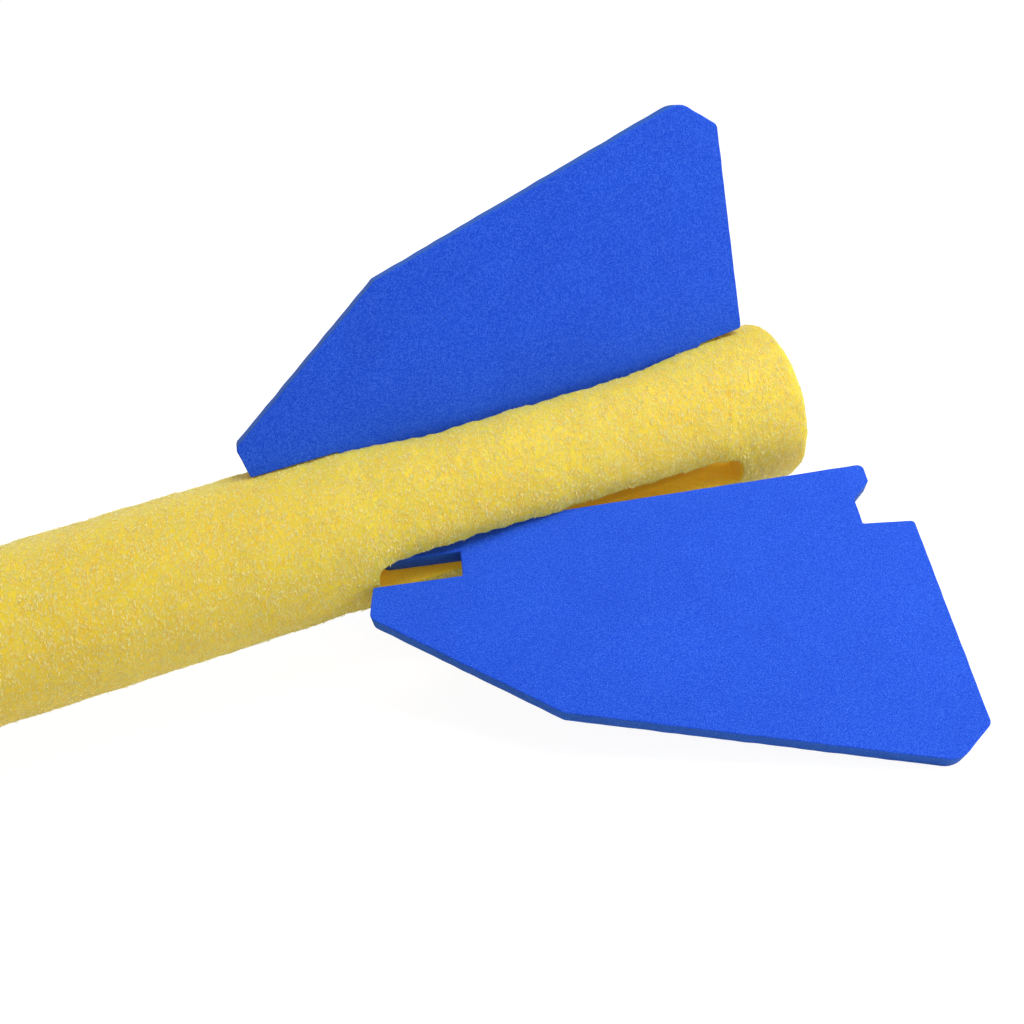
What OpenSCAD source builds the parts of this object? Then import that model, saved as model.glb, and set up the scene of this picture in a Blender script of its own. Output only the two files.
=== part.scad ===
// Foam javelin for children's athletics: a foam tube, a soft nose and three flat fins.
// The tube lies along X, with the nose toward -X and the tail toward +X.
// The top fin points along +Z. The other two fins are 120 degrees round from it.
// The origin is on the tube's axis, at the middle of the smooth grip between nose and fins.
// Distances whose names end in _s are measured from the tail end toward the nose.
// Heights whose names end in _h are measured outward from the tube's skin.

/* [Tube] */
// Outside diameter of the foam tube
tube_d = 65; // [60:1:75]
// Wall thickness of the foam tube
tube_wall = 9.5; // [8:0.5:11]
// Length of the foam tube
tube_len = 640; // [500:10:900]
// How far the tail end stands out round the fin tabs, on the radius
tail_swell = 0.8; // [0.6:0.1:1.5]
// Round on the outer edge of the tube's two cut ends
rim_round = 2; // [1:0.5:4]

/* [Nose] */
// Length of the nose ahead of the tube
nose_len = 105; // [70:5:150]
// Fullness of the nose's curve, where 0.5 gives an ellipse and more gives a sharper nose
nose_power = 0.6; // [0.5:0.05:0.9]
// How much smaller the nose's shoulder is than the tube, on the radius
nose_inset = 0.3; // [0.1:0.1:1]
// Length of the spigot that fills the tube's front end
spigot_len = 60; // [30:5:90]
// Chamfer that leads the spigot into the bore
spigot_lead = 4; // [2:0.5:8]

/* [Fin blade] */
// Thickness of the sheet that the fins are cut from
fin_t = 8; // [6:0.5:9]
// Distance of the fin's front corner from the tail end
front_s = 215; // [212:1:225]
// Height of the short front edge
front_h = 12.8; // [8:0.2:20]
// How far the front edge leans toward the nose at its top
front_lean = 2; // [0:0.5:5]
// Distance of the blade's middle corner from the tail end
middle_s = 151; // [120:1:180]
// Height of the blade's middle corner
middle_h = 59; // [45:1:70]
// Distance of the blade's tip from the tail end
tip_s = 24; // [18:1:40]
// Height of the blade's tip
tip_h = 93.5; // [80:0.5:120]
// Distance of the trailing edge from the tail end
trail_s = 10; // [4:1:16]
// Height of the trailing edge's upper end, below the slanted tip
trail_top_h = 82.5; // [60:0.5:90]
// Height of the trailing edge's lower end, where the root edge slants up from the skin
trail_root_h = 2; // [1.5:0.1:6]
// Round on the blade's tip
tip_round = 9; // [3:1:14]
// Round on the blade's other outer corners
blade_round = 3; // [1:0.5:5]

/* [Fin tab] */
// Distance of the neck's front end from the tail end
neck_front_s = 181; // [160:1:190]
// Distance of the neck's rear end from the tail end
neck_rear_s = 29; // [27:1:40]
// Distance of the hooked front lobe's end from the tail end
lobe_s = 213; // [205:1:213]
// Radius, from the tube's axis, of the tab's root edge at the barb
tab_rear_r = 7.6; // [5:0.2:9]
// Radius, from the tube's axis, of the tab's root edge at the hooked lobe
tab_front_r = 11.8; // [9:0.2:13]
// Distance of the rear barb's end from the tail end
barb_s = 21.5; // [18:0.5:24]
// How far the rear barb's shoulder slants in from the bore
barb_drop = 6.8; // [3:0.2:9]
// Round on the lobe's two front corners
lobe_round = 4; // [1:0.5:4]
// Round on the tab's rear corner
tab_round = 2.5; // [1:0.5:4]
// Round in the corners of the notch and the neck
notch_round = 0.6; // [0.4:0.1:0.8]

/* [Slits] */
// Clearance between a fin and each side of its slit
side_gap = 0.3; // [0.2:0.1:0.8]
// Clearance between the neck and each end of its slit
end_gap = 1.2; // [1:0.1:2]
// Clearance between a seated fin and the tube's skin and bore
seat_gap = 0.3; // [0.2:0.1:0.6]
// Clearance round the nose's spigot
push_gap = 0.2; // [0.1:0.05:0.5]
// Round on the corners of a slit
slit_round = 1.5; // [1:0.1:1.6]
// Depth of the rolled lips along a slit
lip_depth = 6; // [3:0.5:7]
// Width of the lips that the fins press flat
lip_flat = 1.5; // [0.5:0.5:4]
// Width of the lip beside the top fin, on the side of the loose fin
lip_top = 3.6; // [1:0.2:5]
// Width of the gaping lip beside the loose fin
lip_loose = 8; // [7.6:0.1:8.4]

/* [Loose fin] */
// How far the loose fin's front corner has slid toward the tail
loose_slip = 31.2; // [26:0.2:34]
// Angle by which the loose fin's tail end has swung outward
loose_swing = 13.6; // [12:0.1:17]
// Angle by which the loose fin's tail end has turned sideways, toward the gaping lip
loose_lean = 3.2; // [2:0.1:4]
// Angle by which the loose fin's root has rolled over toward the gaping lip
loose_roll = 4.6; // [2:0.2:6]

/* [Hidden] */

tube_colour = [0.93, 0.81, 0.38];
fin_colour = [0.14, 0.33, 0.84];
nose_colour = [0.10, 0.24, 0.70];

// Facets round the tube, along the nose's curve, round a lip and round a corner
tube_fn = 96;
nose_steps = 28;
lip_steps = 8;
corner_steps = 6;
// How far a cutting shape runs past what it cuts
overcut = 5;

tube_r = tube_d / 2;
bore_r = tube_r - tube_wall;
tail_r = tube_r + tail_swell;
slit_w = fin_t + 2 * side_gap;
slit_front_s = neck_front_s + end_gap;
slit_rear_s = neck_rear_s - end_gap;

// The smooth grip ends 1 mm ahead of the fins' front edge, where the tube starts to swell
grip_rear_s = front_s + front_lean + 1;
grip_len = tube_len - rim_round - grip_rear_s;
tail_x = grip_len / 2 + grip_rear_s;
front_x = tail_x - tube_len;

// Radius of the skin at the distance s from the tail end, where the tube swells
function skin_r(s) = tube_r + tail_swell * (grip_rear_s - s) / (grip_rear_s - slit_rear_s);

// Heights of the fin's edges from the tube's axis
root_r = skin_r(neck_front_s) + seat_gap;
rear_root_r = tail_r + seat_gap;
lobe_r = sqrt(pow(bore_r - seat_gap, 2) - pow(fin_t / 2, 2));

// Where the loose fin's front root corner rests, which it has swung about
loose_x = tail_x - front_s + loose_slip;
loose_root_r = sqrt(pow(root_r, 2) - pow(fin_t / 2, 2)) + fin_t / 2 * sin(loose_roll);

function unit(v) = v / norm(v);

// Points of the arc with radius r that rounds the corner b between the points a and c
function corner_arc(a, b, c, r) =
    let (
        to_a = unit(a - b),
        to_c = unit(c - b),
        half = acos(to_a * to_c) / 2,
        centre = b + unit(to_a + to_c) * r / sin(half),
        from = b + to_a * r / tan(half) - centre,
        to = b + to_c * r / tan(half) - centre,
        start = atan2(from[1], from[0]),
        turn = atan2(from[0] * to[1] - from[1] * to[0], from * to)
    )
    [for (i = [0 : corner_steps])
        let (angle = start + turn * i / corner_steps)
        centre + r * [cos(angle), sin(angle)]];

// Outline through corners given as [x, y, round], with each corner rounded by its own arc
function rounded(corners) =
    let (n = len(corners))
    [for (i = [0 : n - 1])
        let (
            a = corners[(i + n - 1) % n],
            b = corners[i],
            c = corners[(i + 1) % n]
        )
        each corner_arc([a[0], a[1]], [b[0], b[1]], [c[0], c[1]], b[2])];

// The fin's corners as [x, radius from the axis, round], clockwise from the front root corner
function fin_corners() = [
    [tail_x - front_s, root_r, notch_round],
    [tail_x - front_s - front_lean, tube_r + front_h, blade_round],
    [tail_x - middle_s, tube_r + middle_h, blade_round],
    [tail_x - tip_s, tube_r + tip_h, tip_round],
    [tail_x - trail_s, tube_r + trail_top_h, blade_round],
    [tail_x - trail_s, tail_r + trail_root_h, blade_round / 2],
    [tail_x - neck_rear_s, rear_root_r, notch_round],
    [tail_x - neck_rear_s, lobe_r, notch_round],
    [tail_x - barb_s, lobe_r - barb_drop, notch_round],
    [tail_x - barb_s, tab_rear_r, tab_round],
    [tail_x - lobe_s, tab_front_r, lobe_round],
    [tail_x - lobe_s, lobe_r, lobe_round],
    [tail_x - neck_front_s, lobe_r, notch_round],
    [tail_x - neck_front_s, root_r, notch_round],
];

module fin_outline() {
    polygon(rounded(fin_corners()));
}

// Thickens an outline drawn in X and radius into a sheet that stands along Z
module sheet() {
    rotate([90, 0, 0])
        linear_extrude(height = fin_t, center = true)
            children();
}

// Turns a fin or slit that stands along Z to its place round the tube
module at_top() {
    children();
}

module at_front() {
    rotate([120, 0, 0]) children();
}

module at_back() {
    rotate([-120, 0, 0]) children();
}

// Rounded rectangle of a slit seen from outside, wider by the two lips
module slit_plan(lip_minus, lip_plus) {
    x_front = tail_x - slit_front_s;
    x_rear = tail_x - slit_rear_s;
    polygon(rounded([
        [x_front, -slit_w / 2 - lip_minus, slit_round],
        [x_rear, -slit_w / 2 - lip_minus, slit_round],
        [x_rear, slit_w / 2 + lip_plus, slit_round],
        [x_front, slit_w / 2 + lip_plus, slit_round],
    ]));
}

// The loose fin's slit seen from outside, opened along the side that the fin leans to
module gaping_plan() {
    x_front = tail_x - slit_front_s;
    x_rear = tail_x - slit_rear_s;
    beside = slit_w / 2 / cos(loose_lean) + (loose_root_r - tab_front_r) * tan(loose_roll);
    open_w = slit_w / 2 + lip_loose;
    x_wide = loose_x + (open_w - beside) / tan(loose_lean);
    polygon(rounded([
        [x_front, -slit_w / 2, slit_round],
        [x_rear, -slit_w / 2, slit_round],
        [x_rear, slit_w / 2, slit_round],
        [min(x_wide, x_rear - 4 * slit_round), open_w, slit_round],
        [x_front, beside + (x_front - loose_x) * tan(loose_lean), slit_round],
    ]));
}

// Points down one lip, a quarter ellipse from the skin to the slit's side
function lip_points(width, side) =
    let (
        edge = slit_w / 2 + width,
        top = sqrt(pow(tube_r, 2) - pow(edge, 2))
    )
    [for (i = [0 : lip_steps])
        let (angle = 90 * i / lip_steps)
        [side * (edge - width * sin(angle)), top - lip_depth * (1 - cos(angle))]];

// Cross-section of the space between the two lips, in Y and radius
module mouth_section(lip_minus, lip_plus) {
    top = tail_r + overcut;
    right = lip_points(lip_plus, 1);
    left = lip_points(lip_minus, -1);
    polygon(concat(
        [[slit_w / 2 + lip_plus, top]],
        right,
        [for (i = [lip_steps : -1 : 0]) left[i]],
        [[-slit_w / 2 - lip_minus, top]]
    ));
}

// Everything that a slit and its two lips take out of the tube, with the slit's own plan as child
module slit(lip_minus, lip_plus) {
    linear_extrude(height = tail_r + overcut)
        children();
    intersection() {
        linear_extrude(height = tail_r + overcut)
            slit_plan(lip_minus, lip_plus);
        rotate([90, 0, 90])
            linear_extrude(height = tail_x)
                mouth_section(lip_minus, lip_plus);
    }
}

// Points of the round on the outer edge of a cut end, as [radius, x] from the skin inward
function rim_points(x, r, inward) =
    [for (i = [0 : corner_steps])
        let (angle = 90 * i / corner_steps)
        [r - rim_round * (1 - cos(angle)), x + inward * rim_round * (1 - sin(angle))]];

module foam_tube() {
    front_rim = rim_points(front_x, tube_r, 1);
    tail_rim = rim_points(tail_x, tail_r, -1);
    color(tube_colour)
        difference() {
            rotate([0, 90, 0])
                rotate_extrude($fn = tube_fn)
                    polygon(concat(
                        [[bore_r, front_x]],
                        [for (i = [corner_steps : -1 : 0]) front_rim[i]],
                        [[tube_r, tail_x - grip_rear_s], [tail_r, tail_x - slit_rear_s]],
                        tail_rim,
                        [[bore_r, tail_x]]
                    ));
            at_top() slit(lip_top, lip_flat) slit_plan(0, 0);
            at_front() slit(lip_flat, lip_loose) gaping_plan();
            at_back() slit(lip_flat, lip_flat) slit_plan(0, 0);
        }
}

module nose_cone() {
    nose_r = tube_r - nose_inset;
    spigot_r = bore_r - push_gap;
    shoulder_x = front_x - seat_gap;
    color(nose_colour)
        rotate([0, 90, 0])
            rotate_extrude($fn = tube_fn)
                polygon(concat(
                    [for (i = [0 : nose_steps])
                        let (angle = 90 - 90 * i / nose_steps)
                        [nose_r * pow(cos(angle), 2 * nose_power), shoulder_x - nose_len * sin(angle)]],
                    [
                        [spigot_r, shoulder_x],
                        [spigot_r, shoulder_x + spigot_len - spigot_lead],
                        [spigot_r - spigot_lead, shoulder_x + spigot_len],
                        [0, shoulder_x + spigot_len],
                    ]
                ));
}

module fin_top() {
    color(fin_colour)
        at_top() sheet() fin_outline();
}

module fin_back() {
    color(fin_colour)
        at_back() sheet() fin_outline();
}

// The loose fin has slid toward the tail, and swung, rolled and turned about its front root corner
module fin_front() {
    color(fin_colour)
        at_front()
            translate([loose_x, 0, loose_root_r])
                rotate([loose_roll, 0, loose_lean])
                    sheet()
                        rotate(loose_swing)
                            translate([front_s - tail_x, -root_r])
                                fin_outline();
}

foam_tube();
nose_cone();
fin_top();
fin_front();
fin_back();
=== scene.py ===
# %% [markdown]
# # A foam javelin
# The object is a throwing javelin for children: a pale yellow tube of expanded foam, a soft
# blue nose, and three blue fins cut from foam sheet. The fins' hooked tabs sit in slits at the
# tail, and the front fin has worked loose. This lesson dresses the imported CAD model: the CAD
# keeps the sizes and the motion, and the meshes made here carry the look.

# %% Load the frame
import math
from collections import namedtuple

import bmesh
import bpy
import numpy as np
from mathutils import Matrix, Vector


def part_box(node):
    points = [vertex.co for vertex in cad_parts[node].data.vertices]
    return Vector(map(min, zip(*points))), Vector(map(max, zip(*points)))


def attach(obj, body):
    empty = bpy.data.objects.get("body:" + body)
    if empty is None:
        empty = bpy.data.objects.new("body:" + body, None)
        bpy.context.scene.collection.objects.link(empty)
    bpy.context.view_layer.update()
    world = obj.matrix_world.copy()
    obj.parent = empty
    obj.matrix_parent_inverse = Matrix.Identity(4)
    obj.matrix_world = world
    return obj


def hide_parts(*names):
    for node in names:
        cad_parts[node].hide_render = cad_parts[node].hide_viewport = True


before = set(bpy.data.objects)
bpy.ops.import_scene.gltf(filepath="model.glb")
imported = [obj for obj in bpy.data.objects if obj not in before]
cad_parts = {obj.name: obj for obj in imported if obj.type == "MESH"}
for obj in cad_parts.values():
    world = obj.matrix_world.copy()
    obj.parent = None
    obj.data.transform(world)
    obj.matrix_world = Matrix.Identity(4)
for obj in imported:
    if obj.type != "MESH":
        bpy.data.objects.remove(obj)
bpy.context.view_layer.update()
MM = 0.001
print("CAD nodes:", sorted(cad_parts))

# %% [markdown]
# ## Measures
# The tube lies along X, with its tail at the larger X. Distances called s run from the tail end
# toward the nose, in millimetres, because the fins and slits are laid out from the tail. An angle
# round the tube is zero at the top fin and grows over the camera's side, so the loose fin is at
# 120 degrees and the back fin at 240. Whatever the CAD boxes can tell is read from them, and the
# rest is the CAD model's own measures in millimetres.

# %% Measures of the tube and its slits
tube_low, tube_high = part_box("foam_tube")
TAIL_X = tube_high.x
TUBE_LEN = (tube_high.x - tube_low.x) / MM
TAIL_R = tube_high.z / MM
GRIP_R = 32.5
BORE_R = 23.0
SWELL_S = 218.0  # the tail's slight swell starts here
RIM = 2.0  # round of the tube's outer edge at both ends
SLIT_REAR, SLIT_FRONT = 28.5, 181.5
SLIT_ROUND = 2.0
SLIT_ANGLES = (0.0, 120.0, 240.0)
PANEL_ANGLE = 120.0
print("tube", round(TUBE_LEN, 1), "mm long, tail radius", round(TAIL_R, 1), "mm")


def place(s, r, angle):
    """Point at distance s from the tail, radius r (both in mm) and an angle round the tube in
    degrees. The direction at an angle is Z turned about X, the way that the fins are placed."""
    a = np.radians(angle)
    return np.stack([TAIL_X - s * MM + 0 * a, -r * MM * np.sin(a), r * MM * np.cos(a)], axis=-1)


# %% [markdown]
# ## The camera
# The photograph was matched by fitting a pinhole camera to the tube's outline and the fins'
# corners. The fit gave a lens of 1000 pixels for a 1024 pixel frame, and the camera's place and
# axes from the centre of the tube's tail. The picture's left edge cuts the tube, as here.

# %% Camera
CAMERA_FROM_TAIL = Vector((-0.1898, -0.3730, 0.1548))
CAMERA_RIGHT = Vector((0.940214, -0.270398, -0.207085))
CAMERA_BACK = Vector((-0.168296, -0.897462, 0.407735))
LENS_PIXELS, FRAME_PIXELS = 1000.0, 1024.0

camera_data = bpy.data.cameras.new("camera")
camera_data.sensor_width = 36.0
camera_data.lens = camera_data.sensor_width * LENS_PIXELS / FRAME_PIXELS
camera_data.clip_start = 0.01
camera = bpy.data.objects.new("camera", camera_data)
bpy.context.scene.collection.objects.link(camera)
back = CAMERA_BACK.normalized()
up = back.cross(CAMERA_RIGHT).normalized()
right = up.cross(back)
turn = Matrix((right, up, back)).transposed().to_4x4()
camera.matrix_world = Matrix.Translation(Vector((TAIL_X, 0, 0)) + CAMERA_FROM_TAIL) @ turn
bpy.context.scene.camera = camera
print("camera at", [round(v, 3) for v in camera.location], "lens", round(camera_data.lens, 2))

# %% [markdown]
# ## The floor
# The javelin rests on three points: the front of its tube or nose, and the tips of its two lower
# fins. The floor is the plane through them, which tilts a few degrees against the tube. It is
# found by turning a plane until it touches the three pieces: each round takes the lowest point
# of each piece along the plane's normal, and lays the next plane through the three points.

# %% Floor plane
def points_of(node_name):
    """The vertices of a CAD node as an array."""
    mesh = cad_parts[node_name].data
    found = np.empty(len(mesh.vertices) * 3)
    mesh.vertices.foreach_get("co", found)
    return found.reshape(-1, 3)


def resting_plane(groups, rounds=8):
    """Normal and offset of the plane that touches three groups of points from below. The normal
    is the cross product of two sides of the triangle between the groups' lowest points."""
    normal = np.array([0.0, 0.0, 1.0])
    for _ in range(rounds):
        a, b, c = (g[np.argmin(g @ normal)] for g in groups)
        normal = np.cross(b - a, c - a)
        normal *= np.sign(normal[2]) / np.linalg.norm(normal)
    return normal, min((g @ normal).min() for g in groups)


front_end = np.concatenate([points_of("foam_tube"), points_of("nose_cone")])
front_end = front_end[front_end[:, 0] < 0]
floor_normal, floor_offset = resting_plane(
    [front_end, points_of("fin_front"), points_of("fin_back")])
print("floor normal", np.round(floor_normal, 3), "offset", round(float(floor_offset), 4))


# %% [markdown]
# ## Helpers for materials
# Each finish is built from the same few nodes, so short helpers keep the recipes readable. All
# patterns read Object coordinates: every piece's object sits at the origin, so a pattern stays
# fixed to the piece from any side.

# %% Material helpers
def new_material(name, roughness, specular):
    """A material and its Principled shader."""
    material = bpy.data.materials.new(name)
    material.use_nodes = True
    shader = material.node_tree.nodes["Principled BSDF"]
    shader.inputs["Roughness"].default_value = roughness
    shader.inputs["Specular IOR Level"].default_value = specular
    return material, shader


def node(material, kind, **settings):
    """Adds a node. Settings name its properties, or its inputs where there is no such property."""
    made = material.node_tree.nodes.new("ShaderNode" + kind)
    for key, value in settings.items():
        if hasattr(made, key):
            setattr(made, key, value)
        else:
            made.inputs[key.replace("_", " ").title()].default_value = value
    return made


def link(material, out_socket, in_socket):
    """Joins two sockets of a material's nodes."""
    material.node_tree.links.new(out_socket, in_socket)


def pattern_coordinates(material, scale):
    """Object coordinates stretched by a scale for each axis."""
    coordinates = node(material, "TexCoord")
    mapping = node(material, "Mapping")
    mapping.inputs["Scale"].default_value = scale
    link(material, coordinates.outputs["Object"], mapping.inputs["Vector"])
    return mapping.outputs["Vector"]


def noise(material, vector, scale, detail=3.0, roughness=0.55, distortion=0.0):
    """Noise of 0 to 1 over a vector. A scale of 1000 gives spots of about a millimetre."""
    made = node(material, "TexNoise", scale=scale, detail=detail, roughness=roughness)
    made.inputs["Distortion"].default_value = distortion
    link(material, vector, made.inputs["Vector"])
    return made.outputs["Fac"]


def ramp(material, value, *stops):
    """A colour ramp from stops of (position, colour)."""
    made = node(material, "ValToRGB")
    elements = made.color_ramp.elements
    while len(elements) < len(stops):
        elements.new(0.5)
    for element, (position, colour) in zip(elements, stops):
        element.position = position
        element.color = (*colour, 1.0)
    link(material, value, made.inputs["Fac"])
    return made.outputs["Color"]


def mix(material, blend_type, factor, a, b):
    """Mixes two colours. The factor is a number or a socket, and each colour three numbers or a
    socket. A Mix node has sockets for each kind of value, and 6, 7 and 2 are those of colours."""
    made = node(material, "Mix", data_type="RGBA", blend_type=blend_type)
    sockets = (made.inputs["Factor"], made.inputs[6], made.inputs[7])
    for socket, value in zip(sockets, (factor, a, b)):
        if isinstance(value, bpy.types.NodeSocket):
            link(material, value, socket)
        else:
            socket.default_value = (*value, 1.0) if isinstance(value, tuple) else value
    return made.outputs[2]


def bump(material, height, strength, distance, under=None):
    """A bump from a height, laid over another bump where one is given."""
    made = node(material, "Bump")
    made.inputs["Strength"].default_value = strength
    made.inputs["Distance"].default_value = distance
    link(material, height, made.inputs["Height"])
    if under is not None:
        link(material, under, made.inputs["Normal"])
    return made.outputs["Normal"]


def sheen(shader, weight, roughness, tint):
    """A soft pale gloss at grazing angles, as fuzz gives."""
    shader.inputs["Sheen Weight"].default_value = weight
    shader.inputs["Sheen Roughness"].default_value = roughness
    shader.inputs["Sheen Tint"].default_value = (*tint, 1.0)


def scatter(shader, weight, radius):
    """Lets light in and out again, for each colour within its radius in metres."""
    shader.inputs["Subsurface Weight"].default_value = weight
    shader.inputs["Subsurface Radius"].default_value = radius
    shader.inputs["Subsurface Scale"].default_value = 1.0


def painted_glow(shader, colour, strength):
    """Painted light: a faint glow of its own that stands in for light coming through from the far
    side.
    """
    shader.inputs["Emission Color"].default_value = (*colour, 1.0)
    shader.inputs["Emission Strength"].default_value = strength


# %% [markdown]
# ## Foam skin
# The tube is extruded foam. Its skin is a thin film that has crinkled as the foam cooled, so it
# shows short pale streaks that run round the tube over a deeper golden yellow. Noise that is
# squeezed along X gives streaks round the tube with no seam. Light enters the foam and comes out
# again nearby, which subsurface scattering gives, and a faint painted glow adds painted light that
# lifts the shaded foam, most of it inside the slits. The film's fuzz shows as a pale sheen.

# %% Foam skin and cut foam
GOLD = (0.86, 0.58, 0.030)
YELLOW = (0.90, 0.70, 0.052)
CREAM = (0.97, 0.91, 0.42)
DEEP_GOLD = (0.80, 0.42, 0.012)
FOAM_RADIUS = (0.012, 0.008, 0.0016)
FILM_RADIUS = (0.002, 0.002, 0.001)
FOAM_FUZZ = (0.95, 1.0, 0.62)
BLACK, WHITE = (0, 0, 0), (1.0, 1.0, 1.0)


def foam_material(name, stretch, streak_scale, streak_depth, colours, fuzz, painted_inner_glow):
    """Golden and yellow patches, with thin pale lines where a noise passes through its middle.
    The noise is squeezed along X by the stretch. The painted inner glow is (colour, strength):
    painted light that lifts the foam's shaded parts."""
    material, shader = new_material(name, 0.55, 0.25)
    streaks_at = pattern_coordinates(material, (stretch, 1.0, 1.0))
    even = pattern_coordinates(material, (1.0, 1.0, 1.0))
    streaks = noise(material, streaks_at, streak_scale, 2.0, 0.5, 0.6)
    fine = noise(material, streaks_at, streak_scale * 2.3, 3.0, 0.6, 0.4)
    patches = noise(material, streaks_at, streak_scale * 0.45, 3.0, 0.6, 0.3)
    broad = noise(material, even, 26.0, 2.0)
    low, middle, high = colours
    patch_colour = ramp(material, patches, (0.30, low), (0.50, middle))
    broad_colour = ramp(material, broad, (0.32, low), (0.55, middle))
    colour = mix(material, "MIX", 0.35, patch_colour, broad_colour)
    line = ramp(material, streaks, (0.455, BLACK), (0.50, (0.9, 0.9, 0.9)), (0.545, BLACK))
    colour = mix(material, "MIX", line, colour, high)
    fine_colour = ramp(material, fine, (0.36, (0.88, 0.84, 0.66)), (0.62, WHITE))
    colour = mix(material, "MULTIPLY", 0.55, colour, fine_colour)
    link(material, colour, shader.inputs["Base Color"])
    relief = bump(material, fine, 0.45, 0.0004)
    relief = bump(material, line, 0.85, streak_depth, relief)
    link(material, relief, shader.inputs["Normal"])
    scatter(shader, 0.60, FOAM_RADIUS)
    sheen(shader, fuzz, 0.4, FOAM_FUZZ)
    painted_glow(shader, *painted_inner_glow)
    return material


# Both foams glow faintly. This is painted light: weak and yellow on the skin, and stronger and
# orange on the cut foam, where it lights the insides of the slits.
foam_skin = foam_material("foam_skin", 1.9, 460.0, 0.0007, (GOLD, YELLOW, CREAM), 0.25,
                          ((0.90, 0.62, 0.05), 0.05))
foam_cut = foam_material("foam_cut", 1.0, 620.0, 0.0006, (DEEP_GOLD, GOLD, YELLOW), 0.10,
                         ((0.80, 0.45, 0.03), 0.20))
print("foam materials:", foam_skin.name, foam_cut.name)

# %% Film material
foam_film, film_shader = new_material("foam_film", 0.45, 0.22)
film_shader.inputs["Base Color"].default_value = (0.98, 0.88, 0.36, 1.0)
scatter(film_shader, 0.5, FILM_RADIUS)
# Painted glow on the film: painted light that warms the shaded sides of the slivers.
painted_glow(film_shader, (0.95, 0.72, 0.16), 0.17)
print("film material:", foam_film.name)

# %% [markdown]
# ## Sheet foam
# The fins are cut from closed-cell foam sheet in a strong blue. Sliced cells give its faces an
# even, very fine grain, with a few pits and faint scuffed patches. The grain is noise at about
# half a millimetre, and the pits are rare because only the darkest spots of a noise are used. The
# cut edges are painted darker and greener than the faces, which is painted shade for the shaded
# walls of the sheet, and the nose is a darker blue, so the same recipe takes three colours: for
# the grain's low, middle and high spots.

# %% Sheet foam
FACE_BLUES = ((0.002, 0.056, 0.64), (0.014, 0.097, 0.72), (0.055, 0.165, 0.80))
# The edge blues are painted shade: darker and greener than the faces.
SHADED_EDGE_BLUES = ((0.006, 0.070, 0.42), (0.014, 0.110, 0.52), (0.050, 0.180, 0.64))
NOSE_BLUES = ((0.010, 0.045, 0.42), (0.015, 0.066, 0.55), (0.022, 0.09, 0.66))


def sheet_material(name, blues):
    """Fine grain, broad faint patches and rare pits, each from a noise of its own size."""
    material, shader = new_material(name, 0.75, 0.18)
    even = pattern_coordinates(material, (1.0, 1.0, 1.0))
    grain = noise(material, even, 2100.0, 2.0, 0.7)
    patches = noise(material, even, 28.0, 3.0, 0.6, 0.5)
    pits = noise(material, even, 560.0, 1.0, 0.4)
    colour = ramp(material, grain, *zip((0.34, 0.52, 0.72), blues))
    patch_colour = ramp(material, patches, (0.35, (0.88, 0.90, 0.93)), (0.62, WHITE))
    colour = mix(material, "MULTIPLY", 0.8, colour, patch_colour)
    pit_mask = ramp(material, pits, (0.17, (0.55, 0.6, 0.65)), (0.20, WHITE))
    colour = mix(material, "MULTIPLY", 1.0, colour, pit_mask)
    link(material, colour, shader.inputs["Base Color"])
    relief = bump(material, grain, 0.35, 0.0003)
    relief = bump(material, pit_mask, 0.4, 0.0004, relief)
    link(material, relief, shader.inputs["Normal"])
    sheen(shader, 0.05, 0.5, (0.55, 0.72, 1.0))
    return material


fin_face = sheet_material("fin_face", FACE_BLUES)
fin_edge_painted_shade = sheet_material("fin_edge_painted_shade", SHADED_EDGE_BLUES)
nose_skin = sheet_material("nose_skin", NOSE_BLUES)
print("sheet materials:", fin_face.name, fin_edge_painted_shade.name, nose_skin.name)


# %% [markdown]
# ## Meshes from arrays
# A surface is a grid of points. These helpers join several grids that share edges into one closed
# shell: all quads go into one mesh, the shared edges merge and the faces turn outward. Each piece
# then gets its object at the origin, and its place in the CAD model by the frame's own calls.

# %% Mesh helpers
def grid_quads(rows, columns, start=0):
    """The quads of a grid of rows by columns points that are numbered row by row."""
    index = start + np.arange(rows * columns).reshape(rows, columns)
    corners = (index[:-1, :-1], index[1:, :-1], index[1:, 1:], index[:-1, 1:])
    return np.stack([c.ravel() for c in corners], axis=1)


def turn_outward(mesh, merge):
    """Turns the faces outward, after a merge of shared edges if asked, and counts open edges."""
    work = bmesh.new()
    work.from_mesh(mesh)
    if merge:
        bmesh.ops.remove_doubles(work, verts=work.verts, dist=2e-6)
        bmesh.ops.dissolve_degenerate(work, edges=work.edges, dist=1e-7)
    bmesh.ops.recalc_face_normals(work, faces=work.faces)
    open_edges = sum(not edge.is_manifold for edge in work.edges)
    work.to_mesh(mesh)
    work.free()
    return open_edges


def add_object(name, mesh, *materials):
    """An object at the origin for a mesh, with its materials."""
    for material in materials:
        mesh.materials.append(material)
    made = bpy.data.objects.new(name, mesh)
    bpy.context.scene.collection.objects.link(made)
    return made


def shell_from_grids(name, grids):
    """One closed mesh from grids given as (points, material number)."""
    points, quads, numbers, count = [], [], [], 0
    for grid, number in grids:
        rows, columns = grid.shape[:2]
        points.append(grid.reshape(-1, 3))
        faces = grid_quads(rows, columns, count)
        quads.append(faces)
        numbers.append(np.full(len(faces), number))
        count += rows * columns
    mesh = bpy.data.meshes.new(name)
    mesh.from_pydata(np.concatenate(points).tolist(), [], np.concatenate(quads).tolist())
    mesh.polygons.foreach_set("material_index", np.concatenate(numbers))
    open_edges = turn_outward(mesh, merge=True)
    mesh.polygons.foreach_set("use_smooth", np.ones(len(mesh.polygons), dtype=bool))
    print(name, len(mesh.polygons), "faces,", open_edges, "open edges")
    return mesh


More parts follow.
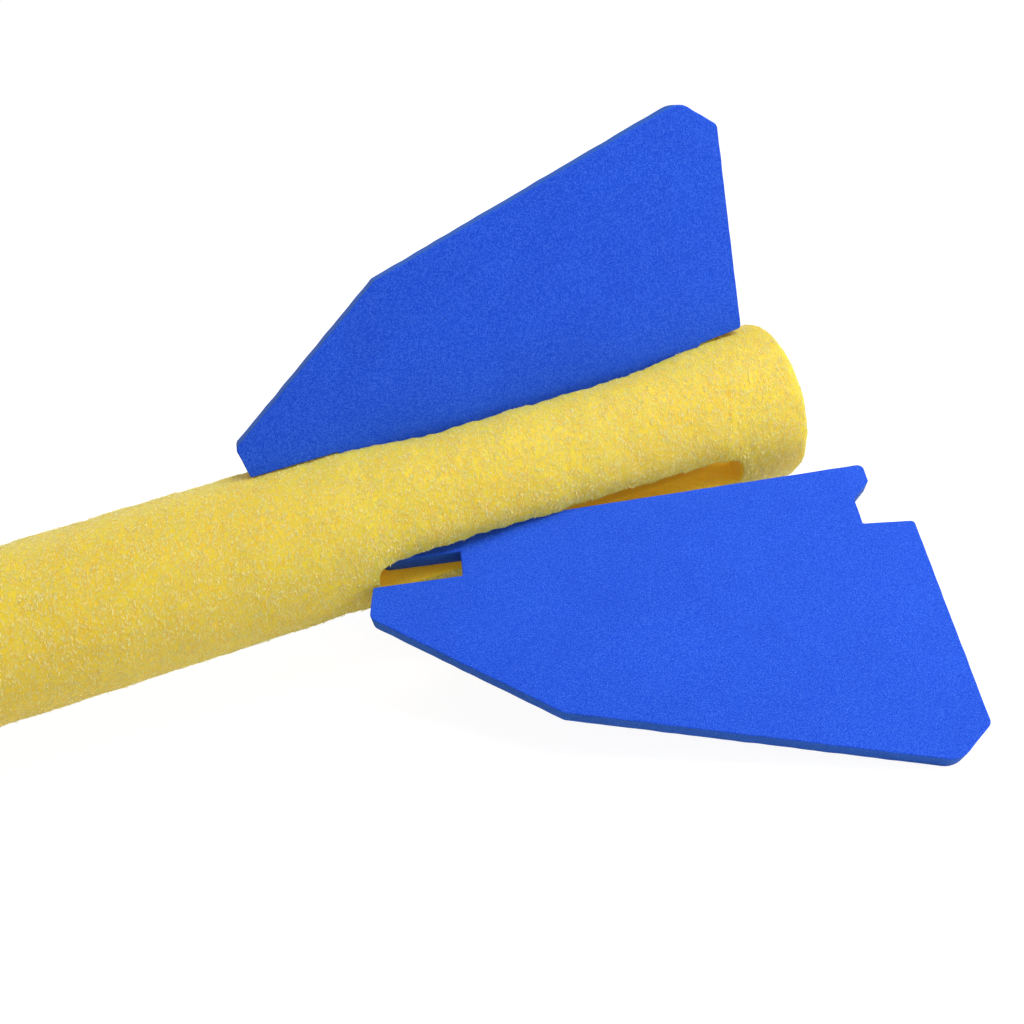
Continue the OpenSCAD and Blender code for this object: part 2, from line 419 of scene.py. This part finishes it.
def waves(points, wavelength, count, seed):
    """Smooth noise of about -1 to 1: a sum of plane waves in fixed random directions. Points are
    in mm, and have any trailing size of 3."""
    random = np.random.default_rng(seed)
    directions = random.normal(size=(count, 3))
    directions *= (2 * np.pi / wavelength) / np.linalg.norm(directions, axis=1, keepdims=True)
    directions *= random.uniform(0.7, 1.4, size=(count, 1))
    phases = random.uniform(0, 2 * np.pi, size=count)
    return np.sin(points @ directions.T + phases).sum(axis=-1) / math.sqrt(count)


# %% [markdown]
# ## The tube
# The tube is drawn as three panels, one between each pair of slits. Along most of the tube the
# panels share their edges, and merging closes them. Over the slits each panel's edge leans away
# from the slit and rolls inward, as the photograph shows on the camera's side, where the panel
# between the top fin and the loose fin is pushed in. Both the lean and the roll fade with the
# distance from the slit, so one formula shapes the whole panel.

# %% Stations along the tube and columns round it
PANEL_COLUMNS = 20  # in half a panel
COLUMN_CROWDING = 1.35  # closer to the slits where this is over 1
FLARE_END = SWELL_S + 14


def stations():
    """Distances from the tail in mm, close over the slits, closest at their ends, and wide along
    the grip."""
    near_rear = SLIT_REAR + np.linspace(0, 6, 11)
    near_front = SLIT_FRONT - np.linspace(0, 8, 14)[::-1]
    tail = np.linspace(RIM, SLIT_REAR, 20)[:-1]
    middle = np.linspace(near_rear[-1], near_front[0], 108)[1:-1]
    swell = np.linspace(SLIT_FRONT, FLARE_END, 36)[1:]
    grip = np.linspace(swell[-1], TUBE_LEN - RIM, 112)[1:]
    return np.concatenate([tail, near_rear, middle, near_front, swell, grip])


S = stations()
STEP = PANEL_ANGLE / 2 * np.linspace(0, 1, PANEL_COLUMNS + 1) ** COLUMN_CROWDING
FROM_LOW = np.concatenate([STEP, PANEL_ANGLE - STEP[-2::-1]])
print(len(S), "stations,", 3 * (len(FROM_LOW) - 1), "columns")


# %% Lips of the slits
EASE_LENGTH = 14.0


def opened(s, length=SLIT_ROUND):
    """0 at a slit's ends and beyond them, and 1 inside, along a quarter circle at each end."""
    depth = np.clip(np.minimum(s - SLIT_REAR, SLIT_FRONT - s) / length, 0, 1)
    return np.sqrt(1 - (1 - depth) ** 2)


def eased(s, length):
    """0 at a slit's ends and beyond them, and 1 from a length inside, with no corner."""
    t = np.clip(np.minimum(s - SLIT_REAR, SLIT_FRONT - s) / length, 0, 1)
    return t * t * (3 - 2 * t)


HALF_SLIT = 4.2
FIN_SIDE = math.degrees(math.asin(HALF_SLIT / GRIP_R))
ROLL_WIDTH = 17.0
SHORT_OPENING = 8.0
# Each slit has a low and a high side, by the angle. A lip has its lean in degrees at the slit's
# rear and front, the roll of its skin and of its bore in mm, the distance of its edge in the bore
# from the fin's plane, and the length over which it opens. Four lips hug their fin, and the two
# beside the pushed-in panel lean away.
Lip = namedtuple("Lip", "rear front skin_roll bore_roll bore_edge opening")
HUGGING = Lip(FIN_SIDE, FIN_SIDE, 0.8, 0.3, 4.6, 4.0)
LIPS = {(slit, side): HUGGING for slit in range(3) for side in ("low", "high")}
LIPS[0, "high"] = Lip(14.0, 11.5, 1.8, 1.5, 4.8, 38.0)
LIPS[1, "low"] = Lip(16.0, 19.5, 2.4, 1.0, 10.5, 7.0)
print("lips:", len(LIPS), "of which", sum(lip is HUGGING for lip in LIPS.values()), "hug a fin")


def lip_lean(key, s):
    """Angle between a slit's plane and the lip's edge on the skin: the fin's own side over the
    whole slit, and the rest over the lip's own opening. A lip that leans is ragged, by a sum of
    three sines of the distance."""
    lip = LIPS[key]
    share = np.clip((s - SLIT_REAR) / (SLIT_FRONT - SLIT_REAR), 0, 1)
    ragged = 0.45 * np.sin(s / 3.1 + 7 * key[0]) + 0.45 * np.sin(s / 1.23) + 0.5 * np.sin(s / 9.7)
    more = lip.rear + (lip.front - lip.rear) * share - FIN_SIDE + ragged * (lip.rear > FIN_SIDE)
    opening = opened if lip.opening < SHORT_OPENING else eased
    return FIN_SIDE * opened(s) + more * opening(s, lip.opening)


def panel_surface(panel, s, skin):
    """Angle and radius of one panel over all stations and columns, for the skin or the bore.
    Near each slit the angle moves away from it by the lean, times the square of the share left to
    the panel's middle, and the radius shrinks by the roll, times a bell curve of the angle."""
    low_lip, high_lip = (panel, "high"), ((panel + 1) % 3, "low")
    angle = np.broadcast_to(FROM_LOW, (len(s), len(FROM_LOW))).copy()
    radius = np.full_like(angle, BORE_R)
    if skin:
        swell = np.clip((SWELL_S - s) / (SWELL_S - SLIT_REAR), 0, 1)
        radius[:] = (GRIP_R + (TAIL_R - GRIP_R) * swell)[:, None]
    for key, away, sign in ((low_lip, FROM_LOW, 1), (high_lip, PANEL_ANGLE - FROM_LOW, -1)):
        lip = LIPS[key]
        roll = lip.skin_roll if skin else lip.bore_roll
        if skin:
            lean = lip_lean(key, s)
        else:
            lean = np.degrees(np.arcsin(lip.bore_edge / (BORE_R - roll))) * opened(s)
        fade = np.clip(1 - away / (PANEL_ANGLE / 2), 0, 1) ** 2
        angle += sign * lean[:, None] * fade
        ease = eased(s, max(EASE_LENGTH, lip.opening))
        radius -= roll * ease[:, None] * np.exp(-(away / ROLL_WIDTH) ** 2)
    return PANEL_ANGLE * panel + angle, radius


# %% Unevenness, rims and walls of the tube
# Depths are in mm
SKIN_LUMPS, BORE_LUMPS, FACE_LUMPS = 0.42, 0.12, 0.12
WALL_BULGE, WALL_ROUGH = 0.2, 0.22
RIM_STEPS, FACE_STEPS, WALL_STEPS = 6, 7, 9


def lumps(points, depth):
    """Moves points along their radius by smooth noise of a depth in mm: soft lumps, and shallow
    crinkles that are closer along the tube than round it."""
    in_mm = points / MM
    soft = waves(in_mm, 26.0, 16, 3) * 0.5
    crinkle = waves(in_mm * [2.4, 1, 1], 7.5, 28, 5) * 0.35
    outward = points * [0, 1, 1]
    outward /= np.linalg.norm(outward, axis=-1, keepdims=True)
    return points + outward * ((soft + crinkle) * depth * MM)[..., None]


def quarter_round(end_s, direction):
    """Stations and drops of radius that round an outer edge: a quarter circle of radius RIM."""
    turn_angle = np.radians(np.linspace(0, 90, RIM_STEPS))
    return end_s + direction * RIM * (1 - np.sin(turn_angle)), RIM * (1 - np.cos(turn_angle))


def end_face(outer, inner):
    """The ring between the skin's edge and the bore's edge at an end, a little rough along X."""
    share = np.linspace(0, 1, FACE_STEPS)[:, None, None]
    face = outer * (1 - share) + inner * share
    face[1:-1, :, 0] += waves(face[1:-1] / MM, 3.2, 20, 11) * FACE_LUMPS * MM
    return face


def lip_wall(outer, inner, s, centre, sign):
    """The cut wall between a lip's edge on the skin and its edge in the bore. It bulges a little
    toward the slit, by half a sine wave over its depth, as cut foam does, and is rough."""
    share = np.linspace(0, 1, WALL_STEPS)
    a = math.radians(centre)
    across = np.array([0.0, -math.cos(a), -math.sin(a)]) * -sign
    wall = outer[:, None] * (1 - share[None, :, None]) + inner[:, None] * share[None, :, None]
    rough = waves(wall / MM, 4.0, 20, 17) * WALL_ROUGH
    bulge = (WALL_BULGE + rough) * np.sin(np.pi * share)[None, :] * opened(s)[:, None]
    return wall + (bulge * MM)[..., None] * across


# %% The tube
def tube_grids():
    """The tube's surfaces: skin with rounded rims, bore, both end faces and the slits' walls."""
    grids = []
    tail_s, tail_drop = quarter_round(0.0, 1)
    nose_s, nose_drop = quarter_round(TUBE_LEN, -1)
    all_s = np.concatenate([tail_s[::-1], S[1:-1], nose_s])
    drop = np.concatenate([tail_drop[::-1], 0 * S[1:-1], nose_drop])
    skins, bores = [], []
    for panel in range(3):
        angle, radius = panel_surface(panel, all_s, True)
        skins.append(lumps(place(all_s[:, None], radius - drop[:, None], angle), SKIN_LUMPS))
        angle, radius = panel_surface(panel, all_s, False)
        bores.append(lumps(place(all_s[:, None], radius, angle), BORE_LUMPS))
        grids += [(skins[panel], 0), (bores[panel], 1)]
        grids += [(end_face(skins[panel][end], bores[panel][end]), 1) for end in (0, -1)]
    inside = np.flatnonzero((all_s >= SLIT_REAR - 1e-9) & (all_s <= SLIT_FRONT + 1e-9))
    for slit, centre in enumerate(SLIT_ANGLES):
        sides = ((skins[slit], bores[slit], 0, 1), (skins[slit - 1], bores[slit - 1], -1, -1))
        for skin, bore, column, sign in sides:
            edges = skin[inside, column], bore[inside, column]
            grids.append((lip_wall(*edges, all_s[inside], centre, sign), 1))
    return skins, grids


tube_skins, all_grids = tube_grids()
tube_mesh = shell_from_grids("foam_tube_skin", all_grids)
tube = add_object("foam_tube_skin", tube_mesh, foam_skin, foam_cut)
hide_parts("foam_tube")
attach(tube, "javelin")

# %% [markdown]
# ## Film
# The skin's film stands off the foam in thousands of short thin wrinkles, which catch the light
# and make the edge of the tube look pale and fuzzy. Each wrinkle is a closed sliver with two
# ends and three points round its middle, so it has six faces. Its middle stands up from the
# skin, or one end does. Most run round the tube.

# %% Spots for the film
def spots_on(grids, per_mm2, random):
    """Random points on the grids' faces, evenly by area, with the direction along the tube,
    round it and outward at each. A face's area is the length of its sides' cross product."""
    corner = np.concatenate([g[:-1, :-1].reshape(-1, 3) for g in grids])
    along = np.concatenate([(g[1:, :-1] - g[:-1, :-1]).reshape(-1, 3) for g in grids])
    round_it = np.concatenate([(g[:-1, 1:] - g[:-1, :-1]).reshape(-1, 3) for g in grids])
    outward = np.cross(round_it, along)
    area = np.linalg.norm(outward, axis=1)
    count = int(per_mm2 * area.sum() / MM ** 2)
    outward *= np.sign(np.sum(outward * corner * [0, 1, 1], axis=1))[:, None]
    pick = random.choice(len(area), size=count, p=area / area.sum())
    share = random.random((2, count, 1))
    spot = corner[pick] + along[pick] * share[0] + round_it[pick] * share[1]
    units = [v[pick] / np.linalg.norm(v[pick], axis=1, keepdims=True)
             for v in (along, round_it, outward)]
    return spot, *units


# %% Film slivers
SLIVER_FACES = np.array([[0, 2, 4], [0, 4, 3], [0, 3, 2], [1, 4, 2], [1, 3, 4], [1, 2, 3]])
SUNK = 0.10 * MM
LIFTED_SHARE = 0.15


def slivers(name, grids, per_mm2, seed):
    """Slivers over the grids. Each has two ends a length apart, two points a width apart at its
    middle, and one on top at its height. The ends are sunk in the skin, unless one is lifted."""
    random = np.random.default_rng(seed)
    spot, along, round_it, outward = spots_on(grids, per_mm2, random)
    count = len(spot)
    lean = random.normal(0.3, 0.45, (count, 1))
    ahead = np.cos(lean) * round_it + np.sin(lean) * along
    aside = np.cross(outward, ahead)
    length = random.uniform(1.1, 3.2, (count, 1)) * MM
    width = random.uniform(0.20, 0.42, (count, 1)) * MM
    height = random.uniform(0.11, 0.30, (count, 1)) * MM
    chosen = random.random((count, 1)) < LIFTED_SHARE
    lifted = np.where(chosen, random.uniform(0.2, 0.8, (count, 1)), 0.0) * MM
    middle = spot + aside * random.normal(0, 0.16, (count, 1)) * MM
    points = np.stack([
        spot - ahead * length / 2 - outward * SUNK,
        spot + ahead * length / 2 + outward * (lifted - SUNK),
        middle + aside * width / 2 + outward * (0.3 * height + 0.4 * lifted),
        middle - aside * width / 2 + outward * (0.3 * height + 0.4 * lifted),
        middle + outward * (height + 0.5 * lifted),
    ], axis=1)
    faces = (SLIVER_FACES[None] + 5 * np.arange(count)[:, None, None]).reshape(-1, 3)
    mesh = bpy.data.meshes.new(name)
    mesh.from_pydata(points.reshape(-1, 3).tolist(), [], faces.tolist())
    mesh.polygons.foreach_set("use_smooth", np.ones(len(faces), dtype=bool))
    made = add_object(name, mesh, foam_film)
    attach(made, "javelin")
    print(name, count, "slivers")


FILM_SPLIT_X = TAIL_X - 300 * MM
split = np.searchsorted(-tube_skins[0][:, 0, 0], -FILM_SPLIT_X)
slivers("film_tail", [g[:split + 1] for g in tube_skins], 0.48, 31)
slivers("film_grip", [g[split:] for g in tube_skins], 0.42, 37)


# %% [markdown]
# ## The fins
# A fin is a flat sheet cut with a die, so it is its outline carried through its thickness, with
# edges that the die has pressed slightly round. The outline is read from the CAD node: it is the
# border of the triangles on one of the fin's two faces. It is then walked at even steps, with the
# slight waver that a cut in foam has. The cut edges have a material of their own.

# %% Outline of a fin
FIN_STEP = 1.6 * MM
FIN_EDGE = 0.5 * MM  # round of the pressed edges
EDGE_STEPS = 5
WAVER = 0.06 * MM
ON_FACE = 0.01 * MM


def fin_axes(name):
    """Three unit vectors: along a fin, outward in its plane, and through its thickness. The last
    is the normal of the mesh's largest triangle, which lies on one of the two flat faces."""
    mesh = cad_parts[name].data
    mesh.calc_loop_triangles()
    largest = max(mesh.loop_triangles, key=lambda triangle: triangle.area)
    through = np.array(largest.normal)
    along = np.array([1.0, 0.0, 0.0]) - through[0] * through
    along /= np.linalg.norm(along)
    return np.array([along, np.cross(through, along), through])


def face_outline(name):
    """The corners of a fin's outline on its axes, in order, with the fin's middle and half
    thickness. An edge that two triangles share is not on the border, so what is left of all
    edges, once each has struck out its opposite, is the outline."""
    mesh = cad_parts[name].data
    local = points_of(name) @ fin_axes(name).T
    top, bottom = local[:, 2].max(), local[:, 2].min()
    triangles = np.array([t.vertices for t in mesh.loop_triangles])
    on_face = (local[triangles, 2] > top - ON_FACE).all(axis=1)
    first = {}
    flat = np.round(local[:, :2], 5).tolist()
    numbers = [first.setdefault(tuple(at), i) for i, at in enumerate(flat)]
    border = {}
    for corners in triangles[on_face]:
        a, b, c = (numbers[i] for i in corners)
        for edge in ((a, b), (b, c), (c, a)):
            if border.pop(edge[::-1], None) is None:
                border[edge] = True
    following = dict(border.keys())
    walk = [min(following)]
    while following[walk[-1]] != walk[0]:
        walk.append(following[walk[-1]])
    print(name, len(border), "edges on the border,", len(walk), "walked")
    return local[walk, :2], (top + bottom) / 2, (top - bottom) / 2


def even_steps(corners, step):
    """Points along a closed outline with every corner kept and no gap over the step."""
    ends = np.roll(corners, -1, axis=0)
    pieces = []
    for a, b in zip(corners, ends):
        count = max(1, int(np.ceil(np.linalg.norm(b - a) / step)))
        pieces.append(a + (b - a) * (np.arange(count) / count)[:, None])
    return np.concatenate(pieces)


# %% Fin sheets
def edge_profile(centre, half):
    """Inset and level of each row of points through the sheet's thickness: a quarter circle of
    radius FIN_EDGE at both faces."""
    turn_angle = np.radians(np.linspace(0, 90, EDGE_STEPS))
    inset = 1 - np.sin(turn_angle)
    rise = half - FIN_EDGE * (1 - np.cos(turn_angle))
    levels = centre + np.concatenate([rise, -rise[::-1]])
    return np.concatenate([inset, inset[::-1]]) * FIN_EDGE, levels


def wavering(path):
    """The path moved across itself by smooth noise, and the unit vectors toward its inside. They
    are its direction turned a quarter, and the sign of its area tells which way is in."""
    ahead, behind = np.roll(path, -1, axis=0), np.roll(path, 1, axis=0)
    along = (ahead - behind) / np.linalg.norm(ahead - behind, axis=1, keepdims=True)
    area = np.sum(path[:, 0] * ahead[:, 1] - ahead[:, 0] * path[:, 1])
    inward = np.stack([-along[:, 1], along[:, 0]], axis=1) * np.sign(area)
    at = np.pad(path / MM, ((0, 0), (0, 1)))
    waver = waves(at, 9.0, 14, 21) * WAVER + WAVER / 2
    return path - inward * waver[:, None], inward


def fin_sheet(name, node_name, body):
    """The fin's outline carried through its thickness, with rounded edges, in the fin's place."""
    corners, centre, half = face_outline(node_name)
    path, inward = wavering(even_steps(corners, FIN_STEP))
    inset, levels = edge_profile(centre, half)
    rows = path[None] + inward[None] * inset[:, None, None]
    level = np.broadcast_to(levels[:, None, None], (*rows.shape[:2], 1))
    points = np.concatenate([rows, level], axis=2) @ fin_axes(node_name)
    count, last = len(path), (len(levels) - 1) * len(path)
    quads = grid_quads(len(levels), count + 1)
    quads = quads // (count + 1) * count + quads % (count + 1) % count
    faces = quads.tolist() + [list(range(count)), list(range(last, last + count))]
    mesh = bpy.data.meshes.new(name)
    mesh.from_pydata(points.reshape(-1, 3).tolist(), [], faces)
    open_edges = turn_outward(mesh, merge=False)
    smooth = np.ones(len(mesh.polygons), dtype=bool)
    smooth[-2:] = False
    mesh.polygons.foreach_set("use_smooth", smooth)
    # The edge walls take the second material, which is painted darker as shade.
    on_edge = np.zeros(len(mesh.polygons), dtype=int)
    on_edge[(EDGE_STEPS - 2) * count:(EDGE_STEPS + 1) * count] = 1
    mesh.polygons.foreach_set("material_index", on_edge)
    made = add_object(name, mesh, fin_face, fin_edge_painted_shade)
    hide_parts(node_name)
    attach(made, body)
    print(name, len(mesh.polygons), "faces,", open_edges, "open edges")


fin_sheet("fin_top_sheet", "fin_top", "javelin")
fin_sheet("fin_front_sheet", "fin_front", "loose_fin")
fin_sheet("fin_back_sheet", "fin_back", "javelin")

# %% [markdown]
# ## The nose
# The nose is one soft moulded piece: a blunt bullet with a spigot that fills the tube's end. It
# is a profile turned about the tube's axis. The profile is the CAD one, with its hard edges
# rounded, because moulded foam has no sharp edge.

# %% Nose
nose_low, nose_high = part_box("nose_cone")
NOSE_R = nose_high.z / MM
NOSE_TIP = (nose_low.x - TAIL_X) / -MM
NOSE_SHOULDER = TUBE_LEN + 0.3
SPIGOT_END = (nose_high.x - TAIL_X) / -MM
SPIGOT_R = BORE_R - 0.2
NOSE_POWER = 0.6
NOSE_EDGE = 2.5


def nose_profile():
    """Distance from the tail and radius from the tip to the spigot's end. The bullet's radius is
    a power of the cosine over its length, and the shoulder's edge is a quarter circle."""
    a = np.radians(np.linspace(90, 1.5, 60))
    bullet_start = NOSE_SHOULDER + NOSE_EDGE
    bullet = np.stack([bullet_start + (NOSE_TIP - NOSE_SHOULDER - NOSE_EDGE) * np.sin(a),
                       NOSE_R * np.cos(a) ** (2 * NOSE_POWER)], axis=1)
    b = np.radians(np.linspace(0, 90, 7))
    edge = np.stack([NOSE_SHOULDER + NOSE_EDGE * (1 - np.sin(b)),
                     NOSE_R - NOSE_EDGE * (1 - np.cos(b))], axis=1)
    spigot = np.array([[NOSE_SHOULDER, SPIGOT_R],
                       [SPIGOT_END + 4, SPIGOT_R],
                       [SPIGOT_END + 0.6, SPIGOT_R - 3.4],
                       [SPIGOT_END, SPIGOT_R - 4.4],
                       [SPIGOT_END, 0]])
    return np.concatenate([bullet, edge, spigot])


profile = nose_profile()
round_angles = np.linspace(0, 360, 97)
nose_grid = place(profile[:, 0][:, None], profile[:, 1][:, None], round_angles[None])
nose_mesh = shell_from_grids("nose_cone_skin", [(nose_grid, 0)])
nose = add_object("nose_cone_skin", nose_mesh, nose_skin)
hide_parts("nose_cone")
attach(nose, "javelin")

# %% [markdown]
# ## Floor, light and background
# The photograph has a pure white ground and soft light from all round. The lower fin is brighter
# than the upright one and the tube darkens to the left, so the brightest light comes from above the
# tail's side. A large lamp there gives the soft shading down the tube, a small one beside the
# camera lights the underside of the tail, a weak one lights the far side, and a white world fills
# the rest. What the camera sees of the floor is mostly white by itself, so that the ground stays
# white but the javelin's shadow still shows.

# %% Floor
def make_floor(size=6.0, clearance=0.0004):
    """A square in the resting plane, under the middle of the javelin."""
    normal = Vector(floor_normal)
    along = (Vector((1, 0, 0)) - normal * normal.x).normalized()
    across = normal.cross(along)
    centre = Vector((0.1, 0, 0))
    centre = centre - normal * (centre.dot(normal) - floor_offset + clearance)
    corners = [centre + along * a * size / 2 + across * b * size / 2
               for a, b in ((-1, -1), (1, -1), (1, 1), (-1, 1))]
    mesh = bpy.data.meshes.new("floor")
    mesh.from_pydata(corners, [], [(0, 1, 2, 3)])
    made = bpy.data.objects.new("floor", mesh)
    bpy.context.scene.collection.objects.link(made)
    return made


def floor_material(seen_share=0.72, strength=1.29):
    """Pale matt, mixed by a share with plain white for what the camera sees of it directly."""
    material = bpy.data.materials.new("floor_white")
    material.use_nodes = True
    material.node_tree.nodes.clear()
    matt = node(material, "BsdfDiffuse")
    matt.inputs["Color"].default_value = (0.86, 0.86, 0.86, 1.0)
    white = node(material, "Emission", strength=strength)
    path = node(material, "LightPath")
    share = node(material, "Math", operation="MULTIPLY")
    share.inputs[1].default_value = seen_share
    link(material, path.outputs["Is Camera Ray"], share.inputs[0])
    blend = node(material, "MixShader")
    link(material, share.outputs[0], blend.inputs["Fac"])
    link(material, matt.outputs["BSDF"], blend.inputs[1])
    link(material, white.outputs["Emission"], blend.inputs[2])
    out = node(material, "OutputMaterial")
    link(material, blend.outputs["Shader"], out.inputs["Surface"])
    return material


floor = make_floor()
floor.data.materials.append(floor_material())
print("floor", [round(side, 2) for side in floor.dimensions], "m")


# %% World and lamps
def make_world(ambient=0.29):
    """White where it is seen, and softer as a light."""
    world = bpy.data.worlds.new("white_room")
    world.use_nodes = True
    tree = world.node_tree
    shade = tree.nodes["Background"]
    shade.inputs["Color"].default_value = (1.0, 1.0, 1.0, 1.0)
    path = tree.nodes.new("ShaderNodeLightPath")
    seen = tree.nodes.new("ShaderNodeMapRange")
    seen.inputs["To Min"].default_value = ambient
    seen.inputs["To Max"].default_value = 1.0
    tree.links.new(path.outputs["Is Camera Ray"], seen.inputs["Value"])
    tree.links.new(seen.outputs["Result"], shade.inputs["Strength"])
    bpy.context.scene.world = world


def make_lamp(name, place_from_tail, target, size, power):
    """A square area lamp that faces its target."""
    data = bpy.data.lights.new(name, "AREA")
    data.shape = "SQUARE"
    data.size = size
    data.energy = power
    made = bpy.data.objects.new(name, data)
    bpy.context.scene.collection.objects.link(made)
    made.location = Vector((TAIL_X, 0, 0)) + Vector(place_from_tail)
    toward = Vector(target) - made.location
    made.rotation_euler = toward.to_track_quat("-Z", "Y").to_euler()
    print(name, "of", power, "W at", [round(v, 2) for v in made.location])


make_world()
TAIL = (TAIL_X, 0.0, 0.0)
MIDDLE = (TAIL_X - 0.12, -0.02, 0.0)
make_lamp("key_lamp", (0.55, -0.50, 1.32), MIDDLE, 0.8, 21.5)
make_lamp("side_lamp", (0.42, -0.45, 0.03), TAIL, 0.3, 1.3)
make_lamp("back_lamp", (-0.50, 1.30, 0.80), MIDDLE, 0.8, 3.5)
bpy.context.scene.view_settings.view_transform = "Standard"
